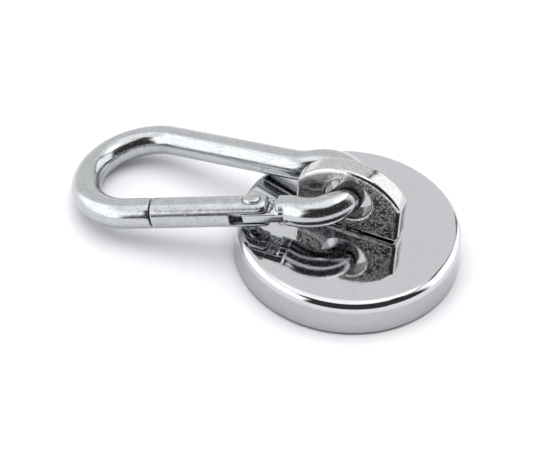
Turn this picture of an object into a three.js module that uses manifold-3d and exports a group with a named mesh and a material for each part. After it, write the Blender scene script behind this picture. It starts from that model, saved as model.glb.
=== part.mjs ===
// Pot magnet with a turning eye and a spring snap hook, as it lies when put down on a flat floor.
// Millimetres, +Z up. The origin is the middle of the magnet's flat face, on the floor.
// The eye's plate stands along X, the hole through it runs along Y, and the hook lies towards -X.
import * as THREE from "three";
import { mergeVertices } from "three/addons/utils/BufferGeometryUtils.js";
import Module from "manifold-3d";

const wasm = await Module();
wasm.setup();

const DEG = Math.PI / 180;
const gap = 0.3; // between fixed neighbours
const runningGap = 0.1; // between a pin and the bore it turns in

// ---- driving dimensions ----

const cup = {
  radius: 22.5,
  topRadius: 22.05, // the side leans in a little
  height: 7.75,
  edgeRound: 1.7,
  footChamfer: 0.3,
  wall: 2.2,
  plate: 2.8,
  round: 80,
};
const shank = { radius: 1.7, headRadius: 3.0, headThickness: 1.0, round: 32 };
const washer = { radius: 4.2, thickness: 0.9 };
const magnet = { holeRadius: 5.2 };
const resin = { width: 0.7, recess: 0.25 };

const eye = {
  halfWidth: 10.65,
  thickness: 4,
  edgeRound: 0.45,
  sideHeight: 8.65, // from the cup's top up to where the arch starts
  archRadius: 12.4,
  holeHeight: 7.85, // from the cup's top up to the hole's centre
  holeRadius: 4.7,
  wingGap: 0.4, // under the plate, outside its foot
  footGap: 0.2, // under the foot
  footHalfWidth: 3.2,
};

const hook = {
  axisHeight: 15.85, // from the floor up to the middle of the wire in the eye
  wireRadius: 3,
  eyeRadius: 7.5, // centre line round the small end
  neckRadius: 8.1, // reverse bend from the small end into each straight side
  spineOffset: 5.4, // from the small end's centre to the spine's line
  gateOffset: 6.6, // from the small end's centre to the gate's line
  spineAngle: 5.6 * DEG,
  gateAngle: 13 * DEG,
  bowRadius: 12, // centre line round the big end
  shoulderSetback: 0.7, // full round wire starts this far round the neck
  floorGap: 0.05,
  sides: 28,
  steps: 80,
};

const gate = {
  rivetFromNeck: 5.85, // along the gate's line, from the end of the neck to the rivet
  length: 20.35, // rivet to the gate's tip
  boreRadius: 1.5,
  boreEnd: 15.5,
  forkDepth: 4.4,
  forkHalfGap: 1.35,
  earCornerRadius: 1.5,
  tipChamfer: 0.25,
  latchLength: 1.8,
  latchHalfThickness: 0.8,
  latchTop: 1.2,
  round: 40,
};

const tongue = { halfThickness: 1.1, halfWidth: 2.6, tip: 2.0, cornerRadius: 0.8 };
const block = { halfThickness: 1.7, halfWidth: 2.3, end: -3.9 }; // steps the tongue up to the wire
const rivet = { radius: 1.05, headRadius: 1.75, headSeat: 2.72, headTop: 3.5, round: 28 };
const plunger = { radius: 1.3, length: 4.6, tipGap: 0.12 };
const spring = { wireRadius: 0.24, coilRadius: 1.05, turns: 7 };

// ---- solids ----

// Turns a closed geometry into a manifold solid, without the flat triangles on a lathe's axis.
function toSolid(geometry) {
  const plain = geometry.clone();
  plain.deleteAttribute("normal");
  plain.deleteAttribute("uv");
  const merged = mergeVertices(plain, 1e-4);
  const corners = merged.index.array;
  const kept = [];
  for (let i = 0; i < corners.length; i += 3) {
    const [a, b, c] = [corners[i], corners[i + 1], corners[i + 2]];
    if (a !== b && b !== c && c !== a) {
      kept.push(a, b, c);
    }
  }
  return new wasm.Manifold(new wasm.Mesh({
    numProp: 3,
    vertProperties: Float32Array.from(merged.attributes.position.array),
    triVerts: Uint32Array.from(kept),
  }));
}

function toGeometry(solid) {
  const mesh = solid.getMesh();
  const geometry = new THREE.BufferGeometry();
  geometry.setAttribute("position", new THREE.BufferAttribute(mesh.vertProperties, 3));
  geometry.setIndex(new THREE.BufferAttribute(mesh.triVerts, 1));
  return geometry;
}

// A turned solid about Z. The profile runs anticlockwise as [radius, height] pairs.
function turned(profile, round) {
  const points = profile.map(([radius, height]) => new THREE.Vector2(radius, height));
  return new THREE.LatheGeometry(points, round).rotateX(Math.PI / 2);
}

function disc(radius, bottom, top, round) {
  return turned([[0, bottom], [radius, bottom], [radius, top], [0, top]], round);
}

function ring(inner, outer, bottom, top, round) {
  return turned([[inner, bottom], [outer, bottom], [outer, top], [inner, top], [inner, bottom]], round);
}

function box(low, high) {
  const size = high.map((value, i) => value - low[i]);
  const middle = high.map((value, i) => (value + low[i]) / 2);
  return new THREE.BoxGeometry(...size).translate(...middle);
}

// A flat outline in X and Y, extruded to the same thickness on both sides of Z = 0.
function slab(shape, halfThickness, curveSegments = 8) {
  const geometry = new THREE.ExtrudeGeometry(shape, {
    depth: 2 * halfThickness,
    bevelEnabled: false,
    curveSegments,
  });
  return geometry.translate(0, 0, -halfThickness);
}

// Round wire along a curve, closed by a flat cap at each end. Three doubles curveSegments on a circle.
function roundWire(curve, radius, sides, steps) {
  const section = new THREE.Shape();
  section.absarc(0, 0, radius, 0, 2 * Math.PI, false);
  return new THREE.ExtrudeGeometry(section, {
    extrudePath: curve,
    steps,
    curveSegments: sides / 2,
    bevelEnabled: false,
  });
}

// A flat path of lines and arcs, read as a curve in space by its length.
class PlanarCurve extends THREE.Curve {
  constructor(path) {
    super();
    this.path = path;
    this.path.curves.forEach((piece) => { piece.arcLengthDivisions = 100; });
  }

  getPoint(t, target = new THREE.Vector3()) {
    const point = this.path.getPoint(t);
    return target.set(point.x, point.y, 0);
  }
}

class Helix extends THREE.Curve {
  constructor(radius, start, end, turns) {
    super();
    Object.assign(this, { radius, start, end, turns });
  }

  getPoint(t, target = new THREE.Vector3()) {
    const angle = 2 * Math.PI * this.turns * t;
    const along = this.start + (this.end - this.start) * t;
    return target.set(along, this.radius * Math.cos(angle), this.radius * Math.sin(angle));
  }
}

// ---- magnet pot ----

const plateUnderside = cup.height - cup.plate;
const cavityRadius = cup.radius - cup.wall;
const magnetRadius = cavityRadius - resin.width - 2 * gap;
const washerBottom = plateUnderside - gap - washer.thickness;
const headTop = washerBottom - runningGap;
const headBottom = headTop - shank.headThickness;

function makeCupShell() {
  const edge = [];
  const edgeSteps = 6;
  for (let i = 0; i <= edgeSteps; i += 1) {
    const angle = (i / edgeSteps) * (Math.PI / 2);
    edge.push([
      cup.topRadius - cup.edgeRound * (1 - Math.cos(angle)),
      cup.height - cup.edgeRound * (1 - Math.sin(angle)),
    ]);
  }
  const bore = shank.radius + runningGap;
  return turned([
    [bore, plateUnderside],
    [cavityRadius, plateUnderside],
    [cavityRadius, 0],
    [cup.radius - cup.footChamfer, 0],
    [cup.radius, cup.footChamfer],
    ...edge,
    [bore, cup.height],
    [bore, plateUnderside],
  ], cup.round);
}

function makeRingMagnet() {
  return ring(magnet.holeRadius, magnetRadius, 0, plateUnderside - gap, cup.round);
}

function makeMagnetResin() {
  const inner = magnetRadius + gap;
  return ring(inner, inner + resin.width, resin.recess, plateUnderside - gap, cup.round);
}

function makeCentrePlug() {
  return disc(magnet.holeRadius - gap, 0, headBottom - gap, shank.round);
}

function makeSwivelWasher() {
  return ring(shank.radius + runningGap, washer.radius, washerBottom, plateUnderside - gap, shank.round);
}

// ---- eye ----

// The arch springs from the tops of the two straight sides.
const archRise = Math.sqrt(eye.archRadius ** 2 - eye.halfWidth ** 2);
const archCentreHeight = cup.height + eye.sideHeight - archRise;

function makeEyeLug() {
  const wing = cup.height + eye.wingGap;
  const foot = cup.height + eye.footGap;
  const springing = Math.asin(archRise / eye.archRadius);
  const outline = new THREE.Shape();
  outline.moveTo(-eye.halfWidth, wing);
  outline.lineTo(-eye.footHalfWidth, wing);
  outline.lineTo(-eye.footHalfWidth, foot);
  outline.lineTo(eye.footHalfWidth, foot);
  outline.lineTo(eye.footHalfWidth, wing);
  outline.lineTo(eye.halfWidth, wing);
  outline.absarc(0, archCentreHeight, eye.archRadius, springing, Math.PI - springing, false);
  const hole = new THREE.Path();
  hole.absarc(0, cup.height + eye.holeHeight, eye.holeRadius, 0, 2 * Math.PI, false);
  outline.holes.push(hole);

  const plate = new THREE.ExtrudeGeometry(outline, {
    depth: eye.thickness - 2 * eye.edgeRound,
    bevelThickness: eye.edgeRound,
    bevelSize: eye.edgeRound,
    bevelOffset: -eye.edgeRound,
    bevelSegments: 3,
    curveSegments: 18,
  });
  plate.translate(0, 0, eye.edgeRound - eye.thickness / 2).rotateX(Math.PI / 2);

  const stem = turned([
    [0, headBottom],
    [shank.headRadius - 0.4, headBottom],
    [shank.headRadius, headBottom + 0.4],
    [shank.headRadius, headTop],
    [shank.radius, headTop],
    [shank.radius, cup.height + eye.wingGap + 1],
    [0, cup.height + eye.wingGap + 1],
  ], shank.round);
  return toGeometry(toSolid(plate).add(toSolid(stem)));
}

// ---- snap hook: outline in its own plane ----
// x runs from the small end to the big end and y towards the gate. The origin is the middle of the
// wire where it passes through the eye.

const smallCentre = new THREE.Vector2(hook.eyeRadius, 0);

// One straight side: its direction, its outward normal, its reverse bend and where it becomes straight.
function straightSide(sign, offset, angle) {
  const along = new THREE.Vector2(Math.cos(angle), sign * Math.sin(angle));
  const outward = new THREE.Vector2(-Math.sin(angle), sign * Math.cos(angle));
  const across = offset + hook.neckRadius;
  const reach = Math.sqrt((hook.eyeRadius + hook.neckRadius) ** 2 - across ** 2);
  const neckCentre = smallCentre.clone().addScaledVector(outward, across).addScaledVector(along, reach);
  const neckEnd = neckCentre.clone().addScaledVector(outward, -hook.neckRadius);
  const join = smallCentre.clone().lerp(neckCentre, hook.eyeRadius / (hook.eyeRadius + hook.neckRadius));
  return { along, outward, neckCentre, neckEnd, join };
}

const spineSide = straightSide(-1, hook.spineOffset, hook.spineAngle);
const gateSide = straightSide(1, hook.gateOffset, hook.gateAngle);

// The big end's centre is one bow radius inside both straight lines.
function findBowCentre() {
  const [s, g] = [spineSide.outward, gateSide.outward];
  const fromSpine = s.dot(spineSide.neckEnd) - hook.bowRadius;
  const fromGate = g.dot(gateSide.neckEnd) - hook.bowRadius;
  const determinant = s.x * g.y - s.y * g.x;
  return new THREE.Vector2(
    (fromSpine * g.y - fromGate * s.y) / determinant,
    (s.x * fromGate - g.x * fromSpine) / determinant,
  );
}

const bowCentre = findBowCentre();
const hookLength = bowCentre.x + hook.bowRadius;
const rivetPlace = gateSide.neckEnd.clone().addScaledVector(gateSide.along, gate.rivetFromNeck);
const bodyEnd = rivetPlace.clone().addScaledVector(gateSide.along, gate.length + gap);

function angleOf(point, centre) {
  return Math.atan2(point.y - centre.y, point.x - centre.x);
}

function makeHookOutline() {
  const path = new THREE.Path();
  const shoulder = angleOf(gateSide.neckEnd, gateSide.neckCentre) - hook.shoulderSetback / hook.neckRadius;
  path.absarc(gateSide.neckCentre.x, gateSide.neckCentre.y, hook.neckRadius,
    shoulder, angleOf(gateSide.join, gateSide.neckCentre), true);
  path.absarc(smallCentre.x, smallCentre.y, hook.eyeRadius,
    angleOf(gateSide.join, smallCentre), angleOf(spineSide.join, smallCentre), false);
  path.absarc(spineSide.neckCentre.x, spineSide.neckCentre.y, hook.neckRadius,
    angleOf(spineSide.join, spineSide.neckCentre), angleOf(spineSide.neckEnd, spineSide.neckCentre), true);
  path.absarc(bowCentre.x, bowCentre.y, hook.bowRadius,
    Math.atan2(spineSide.outward.y, spineSide.outward.x),
    Math.atan2(gateSide.outward.y, gateSide.outward.x), false);
  path.lineTo(bodyEnd.x, bodyEnd.y);
  return path;
}

// The hook leans down from the eye until its big end rests on the floor.
const lean = Math.asin((hook.axisHeight - hook.wireRadius - hook.floorGap) / hookLength);
const hookToRow = new THREE.Matrix4().makeBasis(
  new THREE.Vector3(-Math.cos(lean), 0, -Math.sin(lean)),
  new THREE.Vector3(0, -1, 0),
  new THREE.Vector3(-Math.sin(lean), 0, Math.cos(lean)),
).setPosition(0, 0, hook.axisHeight);

// In the gate's own axes x runs from the rivet to the gate's tip, y outwards and z along the rivet.
const gateToHook = new THREE.Matrix4().makeRotationZ(hook.gateAngle)
  .setPosition(rivetPlace.x, rivetPlace.y, 0);
const gateToRow = hookToRow.clone().multiply(gateToHook);

// ---- snap hook: pieces ----

function makeHookBody() {
  const wire = roundWire(new PlanarCurve(makeHookOutline()), hook.wireRadius, hook.sides, hook.steps);

  const r = tongue.cornerRadius;
  const rootEnd = -gate.rivetFromNeck - hook.shoulderSetback - 1.5;
  const flat = new THREE.Shape();
  flat.moveTo(rootEnd, -tongue.halfWidth);
  flat.absarc(tongue.tip - r, -tongue.halfWidth + r, r, -Math.PI / 2, 0, false);
  flat.absarc(tongue.tip - r, tongue.halfWidth - r, r, 0, Math.PI / 2, false);
  flat.lineTo(rootEnd, tongue.halfWidth);
  const step = box(
    [rootEnd, -block.halfWidth, -block.halfThickness],
    [block.end, block.halfWidth, block.halfThickness],
  );
  const pinHole = disc(rivet.radius + runningGap, -2, 2, rivet.round);

  const latchFace = gate.length + gap;
  const latchSlot = box(
    [latchFace - 1, -2 * hook.wireRadius, -gate.latchHalfThickness - gap],
    [latchFace + gate.latchLength + 0.1, gate.latchTop + gap, gate.latchHalfThickness + gap],
  );
  const hinge = toSolid(slab(flat, tongue.halfThickness).applyMatrix4(gateToHook));
  const solid = toSolid(wire)
    .add(hinge)
    .add(toSolid(step.applyMatrix4(gateToHook)))
    .subtract(toSolid(pinHole.applyMatrix4(gateToHook)))
    .subtract(toSolid(latchSlot.applyMatrix4(gateToHook)));
  return toGeometry(solid).applyMatrix4(hookToRow);
}

function makeGateSleeve() {
  const r = hook.wireRadius;
  const tube = turned([
    [0, -r],
    [r, -r],
    [r, gate.length - gate.tipChamfer],
    [r - gate.tipChamfer, gate.length],
    [0, gate.length],
  ], gate.round).rotateY(Math.PI / 2);
  const q = gate.earCornerRadius;
  const ears = new THREE.Shape();
  ears.moveTo(gate.length + 1, -2 * r);
  ears.lineTo(gate.length + 1, 2 * r);
  ears.lineTo(q - r, 2 * r);
  ears.absarc(q - r, r - q, q, Math.PI / 2, Math.PI, false);
  ears.absarc(q - r, q - r, q, Math.PI, 1.5 * Math.PI, false);
  ears.lineTo(q - r, -2 * r);
  const bore = disc(gate.boreRadius, gate.forkDepth - 1, gate.boreEnd, gate.round).rotateY(Math.PI / 2);
  const fork = box([-2 * r, -2 * r, -gate.forkHalfGap], [gate.forkDepth, 2 * r, gate.forkHalfGap]);
  const pinHole = disc(rivet.radius + runningGap, -2 * r, 2 * r, rivet.round);
  const upperSeat = disc(rivet.headRadius + runningGap, rivet.headSeat - 0.02, 2 * r, rivet.round);
  const lowerSeat = disc(rivet.headRadius + runningGap, -2 * r, -rivet.headSeat + 0.02, rivet.round);
  const latch = box(
    [gate.length - 0.5, -hook.wireRadius + 0.7, -gate.latchHalfThickness],
    [gate.length + gate.latchLength, gate.latchTop, gate.latchHalfThickness],
  );
  const solid = toSolid(tube)
    .intersect(toSolid(slab(ears, 2 * r)))
    .subtract(toSolid(bore))
    .subtract(toSolid(fork))
    .subtract(toSolid(pinHole))
    .subtract(toSolid(upperSeat))
    .subtract(toSolid(lowerSeat))
    .add(toSolid(latch));
  return toGeometry(solid).applyMatrix4(gateToRow);
}

// A straight pin with the same low dome on both ends.
function makeGateRivet() {
  const rise = rivet.headTop - rivet.headSeat;
  const profile = [];
  for (const side of [-1, 1]) {
    const dome = [];
    const domeSteps = 4;
    for (let i = 0; i <= domeSteps; i += 1) {
      const angle = (i / domeSteps) * (Math.PI / 2);
      dome.push([rivet.headRadius * Math.sin(angle), side * (rivet.headSeat + rise * Math.cos(angle))]);
    }
    dome.push([rivet.radius, side * rivet.headSeat]);
    profile.push(...(side < 0 ? dome : dome.reverse()));
  }
  return turned(profile, rivet.round).applyMatrix4(gateToRow);
}

const plungerTip = tongue.tip + plunger.tipGap;

function makeGatePlunger() {
  const r = plunger.radius;
  const end = plungerTip + plunger.length;
  const profile = [[0, plungerTip], [r - 0.2, plungerTip], [r, plungerTip + 0.2], [r, end], [0, end]];
  return turned(profile, rivet.round).rotateY(Math.PI / 2).applyMatrix4(gateToRow);
}

function makeGateSpring() {
  const start = plungerTip + plunger.length + spring.wireRadius + gap;
  const end = gate.boreEnd - spring.wireRadius - gap;
  const coil = new Helix(spring.coilRadius, start, end, spring.turns);
  return roundWire(coil, spring.wireRadius, 6, spring.turns * 12).applyMatrix4(gateToRow);
}

// ---- assembly ----

const finishes = {
  chrome: { color: 0xd4d5d8, roughness: 0.07, metalness: 1 },
  nickel: { color: 0xb4b3ad, roughness: 0.3, metalness: 1 },
  zinc: { color: 0xbfc2c4, roughness: 0.28, metalness: 1 },
  steel: { color: 0x9a9da0, roughness: 0.35, metalness: 1 },
  resin: { color: 0x26272a, roughness: 0.5, metalness: 0 },
};

const group = new THREE.Group();

function addPiece(name, geometry, finish) {
  const mesh = new THREE.Mesh(geometry, new THREE.MeshStandardMaterial(finishes[finish]));
  mesh.name = name;
  group.add(mesh);
}

addPiece("cup_shell", makeCupShell(), "chrome");
addPiece("ring_magnet", makeRingMagnet(), "nickel");
addPiece("magnet_resin", makeMagnetResin(), "resin");
addPiece("centre_plug", makeCentrePlug(), "resin");
addPiece("swivel_washer", makeSwivelWasher(), "steel");
addPiece("eye_lug", makeEyeLug(), "chrome");
addPiece("hook_body", makeHookBody(), "zinc");
addPiece("gate_sleeve", makeGateSleeve(), "zinc");
addPiece("gate_rivet", makeGateRivet(), "steel");
addPiece("gate_plunger", makeGatePlunger(), "steel");
addPiece("gate_spring", makeGateSpring(), "steel");

export default group;
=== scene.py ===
# The looks of a pot magnet with a turning eye and a spring snap hook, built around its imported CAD.
# Shapes are worked out in millimetres, the hook and gate in their own axes, then placed in the part's
# frame in metres.
import math

import bmesh
import bpy
import numpy as np
from mathutils import Matrix, Vector


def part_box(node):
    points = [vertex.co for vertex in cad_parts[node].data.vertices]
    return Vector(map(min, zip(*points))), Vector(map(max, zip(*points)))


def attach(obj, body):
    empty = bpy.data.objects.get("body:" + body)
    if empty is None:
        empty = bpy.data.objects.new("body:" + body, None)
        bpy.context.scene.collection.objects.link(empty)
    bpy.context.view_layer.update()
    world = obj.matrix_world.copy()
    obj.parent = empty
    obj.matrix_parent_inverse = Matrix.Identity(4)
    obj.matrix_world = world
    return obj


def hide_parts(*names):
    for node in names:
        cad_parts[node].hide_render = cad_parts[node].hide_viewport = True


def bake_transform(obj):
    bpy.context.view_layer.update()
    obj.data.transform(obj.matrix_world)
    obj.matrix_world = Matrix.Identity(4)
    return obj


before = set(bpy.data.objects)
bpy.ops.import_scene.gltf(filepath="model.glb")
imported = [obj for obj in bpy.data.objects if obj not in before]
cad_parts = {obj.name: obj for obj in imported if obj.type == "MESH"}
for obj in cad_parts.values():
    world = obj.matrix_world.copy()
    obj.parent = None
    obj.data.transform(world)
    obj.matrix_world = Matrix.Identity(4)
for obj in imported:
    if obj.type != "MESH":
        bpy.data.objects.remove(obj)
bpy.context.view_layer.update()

MM = 0.001

# ---- camera ----

VIEW_AZIMUTH = math.radians(22.0)
VIEW_ELEVATION = math.radians(44.63)
VIEW_ROLL = math.radians(2.08)
VIEW_DISTANCE = 0.2988  # metres, as are the next two
AIM_RIGHT = -0.01519  # the aim, measured from the origin across the view
AIM_UP = 0.00501
LENS_LENGTH, FILM_WIDTH = 100, 36


def make_camera():
    cos_a, sin_a = math.cos(VIEW_AZIMUTH), math.sin(VIEW_AZIMUTH)
    cos_e, sin_e = math.cos(VIEW_ELEVATION), math.sin(VIEW_ELEVATION)
    forward = Vector((-sin_a * cos_e, cos_a * cos_e, -sin_e))
    level_right = Vector((cos_a, sin_a, 0))
    level_up = level_right.cross(forward)
    right = math.cos(VIEW_ROLL) * level_right + math.sin(VIEW_ROLL) * level_up
    up = right.cross(forward)
    data = bpy.data.cameras.new("camera")
    data.lens = LENS_LENGTH
    data.sensor_width = FILM_WIDTH
    data.clip_start = 0.01
    camera = bpy.data.objects.new("camera", data)
    bpy.context.scene.collection.objects.link(camera)
    place = AIM_RIGHT * right + AIM_UP * up - VIEW_DISTANCE * forward
    camera.matrix_world = Matrix.Translation(place) @ Matrix((right, up, -forward)).transposed().to_4x4()
    bpy.context.scene.camera = camera


make_camera()

# ---- driving dimensions, in millimetres ----

# The pot: its rim stands on the floor at height 0, round the Z axis.
CUP_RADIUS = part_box("cup_shell")[1].x / MM
CUP_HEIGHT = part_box("cup_shell")[1].z / MM
CUP_TOP_RADIUS = 22.05  # the side leans in a little
CUP_EDGE_ROUND = 1.7
CUP_WALL = 2.2
CUP_PLATE = 2.8
PLATE_UNDERSIDE = CUP_HEIGHT - CUP_PLATE
CAVITY_RADIUS = CUP_RADIUS - CUP_WALL
MAGNET_HOLE_RADIUS = 5.2
RESIN_WIDTH, RESIN_SAG, PLUG_SAG = 0.7, 0.25, 0.18
PLUG_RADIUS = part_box("centre_plug")[1].x / MM
PLUG_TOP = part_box("centre_plug")[1].z / MM

# The eye and its shank, which is peened over under the cup's plate.
SHANK_RADIUS = 1.7
SHANK_HEAD_RADIUS, SHANK_HEAD_HEIGHT = 3.0, 1.0
SHANK_GAP = 0.1
PLATE_HOLE_RADIUS = SHANK_RADIUS + SHANK_GAP
EYE_HALF_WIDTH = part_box("eye_lug")[1].x / MM
EYE_HALF_THICKNESS = 2.0
EYE_FRONT_ROUND, EYE_BACK_ROUND = 0.8, 0.35  # the punch rolls one edge over more than the other
EYE_CORNER_ROUND = 1.0
EYE_SIDE_TOP = CUP_HEIGHT + 8.65  # where the arch starts
EYE_ARCH_RADIUS = 12.4
EYE_HOLE_RADIUS, EYE_HOLE_ROUND = 4.7, 0.5
EYE_HOLE_HEIGHT = CUP_HEIGHT + 7.85
EYE_WING = CUP_HEIGHT + 0.4  # the eye's straight lower edge
EYE_FOOT = CUP_HEIGHT + 0.2  # the underside of the short foot in the middle of that edge
EYE_FOOT_HALF_WIDTH, EYE_FOOT_HALF_DEPTH, EYE_FOOT_ROUND = 3.2, 1.4, 0.5
EYE_FOOT_HALF_HEIGHT = 0.4

# The hook's centre line: a small end in the eye, two straight sides and a wide bow.
HOOK_AXIS_HEIGHT = 15.85  # the middle of the wire in the eye
WIRE_RADIUS = 3.0
SMALL_RADIUS = 7.5
NECK_RADIUS = 8.1  # of the reverse bend between the small end and each side
SPINE_OFFSET, SPINE_ANGLE = 5.4, math.radians(5.6)
GATE_OFFSET, GATE_ANGLE = 6.6, math.radians(13)
BOW_RADIUS = 12.0
RIVET_FROM_NECK = 5.85
SHOULDER_SETBACK = 0.7
HINGE_ROOT = -RIVET_FROM_NECK - SHOULDER_SETBACK - 1.0  # where the forged hinge starts inside the wire
FLOOR_GAP = 0.05
WIRE_SIDES = 64
SHOULDER_ROUND, WIRE_END_ROUND = 0.55, 0.3  # the wire's rims at the hinge and at the gate's tip

# The hinge, the gate and what is in it, along the gate from the rivet, and the latch at its tip.
GATE_LENGTH = 20.35
GATE_GAP = 0.3
RUNNING_GAP = 0.1
BORE_RADIUS, BORE_START, BORE_END = 1.5, 3.4, 15.5
FORK_DEPTH, FORK_HALF_GAP = 4.4, 1.35
LATCH_LENGTH, LATCH_HALF_THICKNESS, LATCH_BOTTOM, LATCH_TOP = 1.8, 0.8, -2.3, 1.2
EAR_HALF_WIDTH, EAR_CORNER_RADIUS = 3.35, 1.85
TONGUE_HALF_THICKNESS, TONGUE_HALF_WIDTH, TONGUE_TIP = 1.1, 2.6, 2.0
BLOCK_HALF_THICKNESS, BLOCK_HALF_WIDTH, BLOCK_END = 1.5, 2.0, -3.9
STUB_HALF_THICKNESS, STUB_HALF_WIDTH, STUB_END = 2.8, 2.3, -5.0
HAMMER_DEPTH = 0.12
RIVET_RADIUS, RIVET_HEAD_RADIUS, RIVET_SEAT, RIVET_TOP = 1.05, 1.75, 2.72, 3.5
RIVET_DENT, RIVET_HEAD_NARROWING, RIVET_HEAD_SHIFT = 0.08, 0.87, 0.15
PLUNGER_RADIUS, PLUNGER_START, PLUNGER_END = 1.3, 2.12, 6.72
SPRING_COIL, SPRING_WIRE, SPRING_TURNS = 1.05, 0.24, 7  # the first two are radii
SPRING_START = PLUNGER_END + SPRING_WIRE + GATE_GAP
SPRING_END = BORE_END - SPRING_WIRE - GATE_GAP
HINGE_NET_STEP, GATE_NET_STEP = 0.16, 0.14

# ---- meshes from rings of points ----

SUPPORT = 0.06  # how close to an edge a flat gets its last points, so that smooth shading keeps it flat


def make_object(name, points, faces, place=np.eye(4), uvs=None):
    """A smooth object from points in millimetres. place takes them to the part's frame."""
    placed = (points @ place[:3, :3].T + place[:3, 3]) * MM
    mesh = bpy.data.meshes.new(name)
    mesh.from_pydata(placed.tolist(), [], faces)
    if uvs is not None:
        layer = mesh.uv_layers.new(name="UVMap")
        layer.data.foreach_set("uv", np.asarray(uvs, np.float32).ravel())
    work = bmesh.new()
    work.from_mesh(mesh)
    bmesh.ops.recalc_face_normals(work, faces=work.faces)
    work.to_mesh(mesh)
    work.free()
    mesh.shade_smooth()
    piece = bpy.data.objects.new(name, mesh)
    bpy.context.scene.collection.objects.link(piece)
    return piece


def skin(name, rings, place=np.eye(4), closed=False):
    """Quads between neighbouring rings. Open stacks end in a fan; UVs are (along, around) in mm."""
    count, around = rings.shape[:2]
    points = rings.reshape(-1, 3)
    middle = rings[:, 0]
    steps = np.linalg.norm(np.diff(middle, axis=0), axis=1)
    along = np.concatenate([[0], np.cumsum(steps)])
    girth = np.linalg.norm(rings[count // 2] - np.roll(rings[count // 2], 1, axis=0), axis=1).sum()
    faces, uvs = [], []
    for i in range(count if closed else count - 1):
        after = (i + 1) % count
        for j in range(around):
            beside = (j + 1) % around
            faces.append((i * around + j, i * around + beside, after * around + beside, after * around + j))
            left, right = j * girth / around, (j + 1) * girth / around
            low, high = along[i], along[i] + (steps[i] if i < len(steps) else 0.1)
            uvs += [(low, left), (low, right), (high, right), (high, left)]
    if not closed:
        for i in (0, count - 1):
            hub = len(points)
            points = np.vstack([points, rings[i].mean(axis=0)])
            for j in range(around):
                faces.append((i * around + j, i * around + (j + 1) % around, hub))
                uvs += [(along[i], j * girth / around), (along[i], (j + 1) * girth / around), (along[i], 0)]
    return make_object(name, points, faces, place, uvs)


def rounded_profile(corners, steps=6):
    """An outline of [x, y, round] corners with each corner turned into an arc, open at both ends."""
    spots = [np.array(corners[0][:2], float)]
    for before, here, after in zip(corners, corners[1:], corners[2:]):
        corner, size = np.array(here[:2], float), here[2]
        towards = np.array(before[:2], float) - corner
        away = np.array(after[:2], float) - corner
        towards /= np.linalg.norm(towards)
        away /= np.linalg.norm(away)
        half = math.acos(np.clip(towards @ away, -1, 1)) / 2
        centre = corner + (towards + away) / np.linalg.norm(towards + away) * size / math.sin(half)
        start = corner + towards * size / math.tan(half)
        end = corner + away * size / math.tan(half)
        first = math.atan2(*(start - centre)[::-1])
        turn = (math.atan2(*(end - centre)[::-1]) - first + math.pi) % (2 * math.pi) - math.pi
        for i in range(steps + 1):
            angle = first + turn * i / steps
            spots.append(centre + size * np.array([math.cos(angle), math.sin(angle)]))
    spots.append(np.array(corners[-1][:2], float))
    return with_support(np.array(spots))


def with_support(spots, longest=1.2):
    """Adds points along each long stretch, the first and last of them close to its ends."""
    result = [spots[0]]
    for start, end in zip(spots, spots[1:]):
        length = np.linalg.norm(end - start)
        if length > 4 * SUPPORT:
            inner = np.linspace(SUPPORT / length, 1 - SUPPORT / length, max(2, int(length / longest) + 1))
            result += [start + (end - start) * share for share in inner]
        result.append(end)
    return np.array(result)


def lathe_rings(profile, round_steps):
    """The rings about Z of a profile of (radius, height) points."""
    angles = np.arange(round_steps) * 2 * math.pi / round_steps
    rings = np.zeros((len(profile), round_steps, 3))
    rings[:, :, 0] = profile[:, :1] * np.cos(angles)
    rings[:, :, 1] = profile[:, :1] * np.sin(angles)
    rings[:, :, 2] = profile[:, 1:]
    return rings


def turned(name, profile, round_steps, place=np.eye(4), closed=False):
    return skin(name, lathe_rings(profile, round_steps), place, closed)


# Takes Z onto X, so that a lathe about Z becomes one about the gate's own length.
LYING = np.array([[0, 0, 1, 0], [0, 1, 0, 0], [-1, 0, 0, 0], [0, 0, 0, 1]], float)


def arc_outline(arcs, inset, spacing=0.45):
    """Points round a convex outline given as (x, y, radius, start, end) arcs joined by lines."""
    spots = []
    for x, y, radius, start, end in arcs:
        steps = max(3, math.ceil(radius * (end - start) / spacing))
        angles = start + (end - start) * np.arange(steps + 1) / steps
        spots.append((x, y) + (radius - inset) * np.stack([np.cos(angles), np.sin(angles)], 1))
    points = []
    for i, arc in enumerate(spots):
        points.append(arc)
        gap = spots[(i + 1) % len(spots)][0] - arc[-1]
        steps = arc_gap_steps(arcs, i, spacing)
        if steps > 1 and np.linalg.norm(gap) > 1e-6:
            shares = np.arange(1, steps) / steps
            points.append(arc[-1] + gap * shares[:, None])
    return np.vstack(points)


def arc_gap_steps(arcs, i, spacing):
    """How many steps the line after arc i takes, the same for every inset."""
    x0, y0, r0, _, end = arcs[i]
    x1, y1, r1, start, _ = arcs[(i + 1) % len(arcs)]
    length = math.hypot(
        x1 + r1 * math.cos(start) - x0 - r0 * math.cos(end),
        y1 + r1 * math.sin(start) - y0 - r0 * math.sin(end),
    )
    return math.ceil(length / spacing)


def square_outline(left, right, bottom, top, r):
    """Four corner arcs of a rounded rectangle."""
    return [
        (right - r, bottom + r, r, -math.pi / 2, 0),
        (right - r, top - r, r, 0, math.pi / 2),
        (left + r, top - r, r, math.pi / 2, math.pi),
        (left + r, bottom + r, r, math.pi, 1.5 * math.pi),
    ]


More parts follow.
